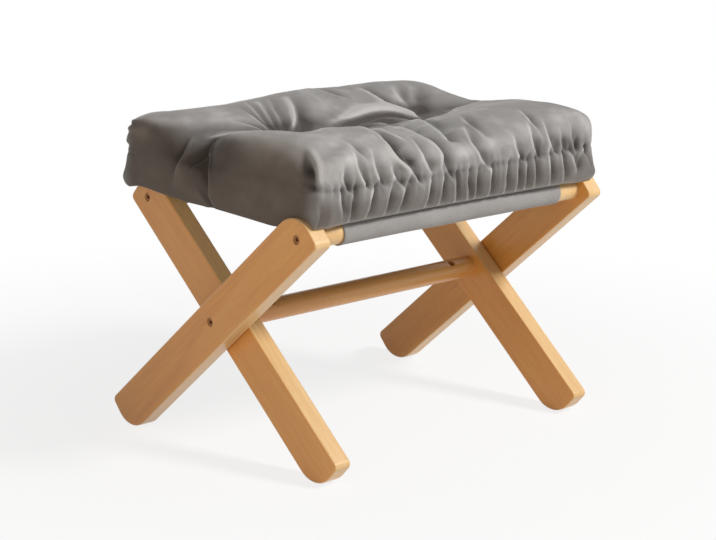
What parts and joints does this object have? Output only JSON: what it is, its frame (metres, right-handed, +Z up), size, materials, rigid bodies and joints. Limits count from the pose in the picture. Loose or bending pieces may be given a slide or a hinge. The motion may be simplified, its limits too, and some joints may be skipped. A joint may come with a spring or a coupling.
{
  "type": "folding footstool",
  "caption": "Folding footstool with crossed wooden legs on a round axle, a cloth sling between two rails and a loose grey tufted cushion on top.",
  "frame": {"origin": "on the floor under the middle of the open stool", "axes": "+X along the rails, to the right seen from the front; +Y to the back; +Z up"},
  "size_m": [0.41, 0.3148, 0.3354],
  "materials": {
    "beech": "satin",
    "bolt_steel": "satin",
    "nut_steel": "satin",
    "washer_plastic": "matte",
    "sling_cloth": "matte",
    "cushion_velvet": "matte",
    "cushion_wadding": "matte",
    "tuft_thread": "matte"
  },
  "bodies": {
    "pivot": {"stretcher": "beech", "pivot_bolt_left": "bolt_steel", "pivot_bolt_right": "bolt_steel", "pivot_nut_left": "nut_steel", "pivot_nut_right": "nut_steel", "pivot_washer_left": "washer_plastic", "pivot_washer_right": "washer_plastic", "sling_panel": "sling_cloth"},
    "outer_frame": {"outer_leg_left": "beech", "outer_leg_right": "beech", "front_rail": "beech", "front_rail_bolt_left": "bolt_steel", "front_rail_bolt_right": "bolt_steel", "front_rail_nut_left": "nut_steel", "front_rail_nut_right": "nut_steel", "front_sleeve": "sling_cloth"},
    "inner_frame": {"inner_leg_left": "beech", "inner_leg_right": "beech", "rear_rail": "beech", "rear_rail_bolt_left": "bolt_steel", "rear_rail_bolt_right": "bolt_steel", "rear_rail_nut_left": "nut_steel", "rear_rail_nut_right": "nut_steel", "rear_sleeve": "sling_cloth"},
    "cushion": {"cushion_cover": "cushion_velvet", "cushion_filling": "cushion_wadding", "tuft_thread_left": "tuft_thread", "tuft_thread_right": "tuft_thread"}
  },
  "joints": [
    {"name": "outer_fold", "type": "hinge", "parent": "pivot", "child": "outer_frame", "pos_m": [0, 0, 0.13574], "axis": [-1, 0, 0], "range_deg": [0, 43.5], "deforming": ["sling_panel"]},
    {"name": "inner_fold", "type": "hinge", "parent": "pivot", "child": "inner_frame", "pos_m": [0, 0, 0.13574], "axis": [1, 0, 0], "range_deg": [0, 43.5]},
    {"name": "cushion_lift", "type": "slide", "parent": "pivot", "child": "cushion", "axis": [0, 0, 1], "range_m": [0, 0.1]}
  ],
  "couplings": [
    {"joint": "inner_fold", "follows": "outer_fold", "ratio": 1},
    {"joint": "cushion_lift", "follows": "outer_fold", "m_per_rad": 0.13}
  ]
}
